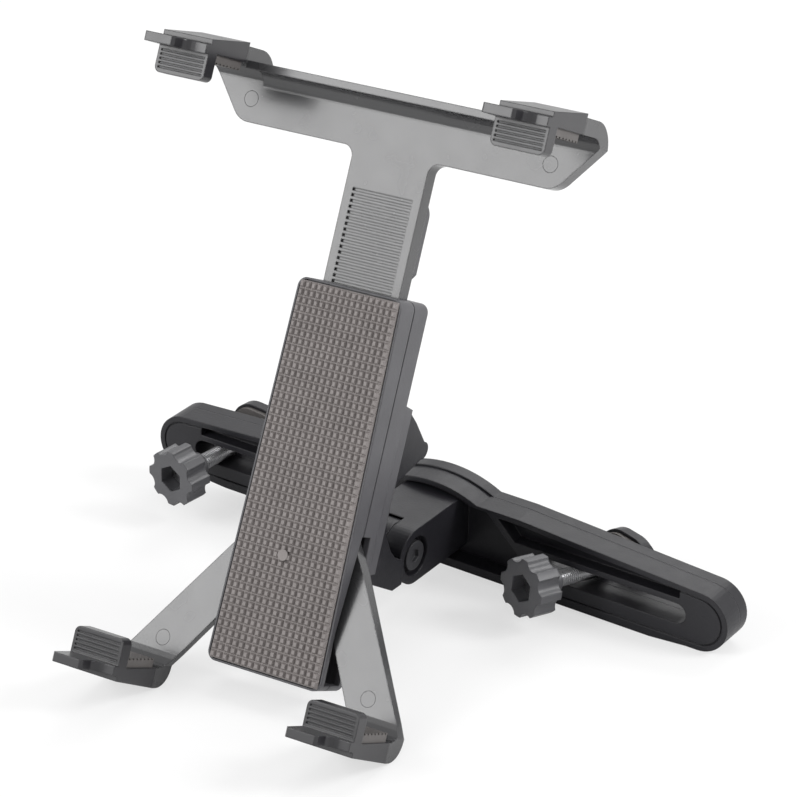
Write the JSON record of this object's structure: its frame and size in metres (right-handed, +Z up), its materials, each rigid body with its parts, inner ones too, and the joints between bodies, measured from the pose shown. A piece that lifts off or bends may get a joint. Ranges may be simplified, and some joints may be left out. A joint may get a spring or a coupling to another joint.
{
  "type": "tablet holder",
  "caption": "Headrest tablet holder: a sliding upper arm and two swinging legs with lipped jaws on a padded body, on a tilting swivel bracket and a slotted clamp bar.",
  "frame": {"origin": "centre of the bounding box, on the surface it stands on", "axes": "+X along the clamp bar to the right as seen from the front, +Y to the rear (towards the headrest), +Z up"},
  "size_m": [0.215, 0.1632, 0.1858],
  "materials": {
    "shell": "satin",
    "gloss_arm": "gloss",
    "rubber": "matte",
    "bracket": "satin",
    "bar": "satin",
    "knob": "satin",
    "steel": "satin",
    "black_steel": "satin"
  },
  "bodies": {
    "bar": {"bar_shell": "bar", "bar_back": "bar", "bar_screws": "steel", "tilt_bolt": "black_steel", "tilt_nut": "black_steel"},
    "bracket": {"tilt_bracket": "bracket"},
    "holder": {"grip_pad": "rubber", "front_cover": "shell", "rear_shell": "shell", "shell_screws": "steel", "mount_plate": "shell", "leg_pins": "steel", "lever_pin": "steel", "lever_leaf": "steel", "swivel_screw": "steel", "swivel_washer": "steel"},
    "upper_arm": {"upper_arm": "gloss_arm", "jaw_top_left": "gloss_arm", "jaw_top_right": "gloss_arm", "liner_top_left": "rubber", "liner_top_right": "rubber"},
    "left_leg": {"leg_left": "gloss_arm", "jaw_low_left": "gloss_arm", "liner_low_left": "rubber"},
    "right_leg": {"leg_right": "gloss_arm", "jaw_low_right": "gloss_arm", "liner_low_right": "rubber"},
    "release_lever": {"release_lever": "shell"},
    "left_clamp": {"collar_left": "knob"},
    "left_knob": {"knob_left": "knob", "bolt_left": "steel"},
    "left_puck": {"puck_left": "bar", "puck_face_left": "rubber", "puck_nut_left": "steel"},
    "right_clamp": {"collar_right": "knob"},
    "right_knob": {"knob_right": "knob", "bolt_right": "steel"},
    "right_puck": {"puck_right": "bar", "puck_face_right": "rubber", "puck_nut_right": "steel"}
  },
  "joints": [
    {"name": "tilt", "type": "hinge", "parent": "bar", "child": "bracket", "pos_m": [-0.00046, 0.02641, 0.01951], "axis": [0.9988, -0.0223, -0.0441], "range_deg": [-35, 35]},
    {"name": "swivel", "type": "hinge", "parent": "bracket", "child": "holder", "pos_m": [0.00054, 0.00019, 0.0554], "axis": [0, 0.8922, -0.4517], "continuous": true},
    {"name": "arm_slide", "type": "slide", "parent": "holder", "child": "upper_arm", "axis": [0, 0.4517, 0.8922], "range_m": [-0.026, 0.012]},
    {"name": "left_leg_swing", "type": "hinge", "parent": "holder", "child": "left_leg", "pos_m": [-0.00843, -0.0176, 0.04638], "axis": [0, 0.8922, -0.4517], "range_deg": [-3, 18]},
    {"name": "right_leg_swing", "type": "hinge", "parent": "holder", "child": "right_leg", "pos_m": [0.00951, -0.0176, 0.04638], "axis": [0, 0.8922, -0.4517], "range_deg": [-18, 3]},
    {"name": "lever_press", "type": "hinge", "parent": "holder", "child": "release_lever", "pos_m": [0.00054, 0.01409, 0.0988], "axis": [1, 0, 0], "range_deg": [-6, 0], "stiffness_Nm_per_rad": 0.05, "springref_deg": 2.86},
    {"name": "left_clamp_slide", "type": "slide", "parent": "bar", "child": "left_clamp", "axis": [0.9988, -0.0223, -0.0441], "range_m": [-0.0033, 0.0405]},
    {"name": "left_knob_turn", "type": "hinge", "parent": "left_clamp", "child": "left_knob", "pos_m": [-0.08516, 0.052, 0.01793], "axis": [0.1352, 0.9908, -0.0063], "continuous": true},
    {"name": "left_puck_travel", "type": "slide", "parent": "left_clamp", "child": "left_puck", "axis": [0.1352, 0.9908, -0.0063], "range_m": [-0.0055, 0.0014]},
    {"name": "right_clamp_slide", "type": "slide", "parent": "bar", "child": "right_clamp", "axis": [0.9988, -0.0223, -0.0441], "range_m": [-0.0092, 0.0315]},
    {"name": "right_knob_turn", "type": "hinge", "parent": "right_clamp", "child": "right_knob", "pos_m": [0.05234, 0.04893, 0.01341], "axis": [0.322, 0.9368, -0.1365], "continuous": true},
    {"name": "right_puck_travel", "type": "slide", "parent": "right_clamp", "child": "right_puck", "axis": [0.322, 0.9368, -0.1365], "range_m": [-0.0014, 0.0014]}
  ]
}
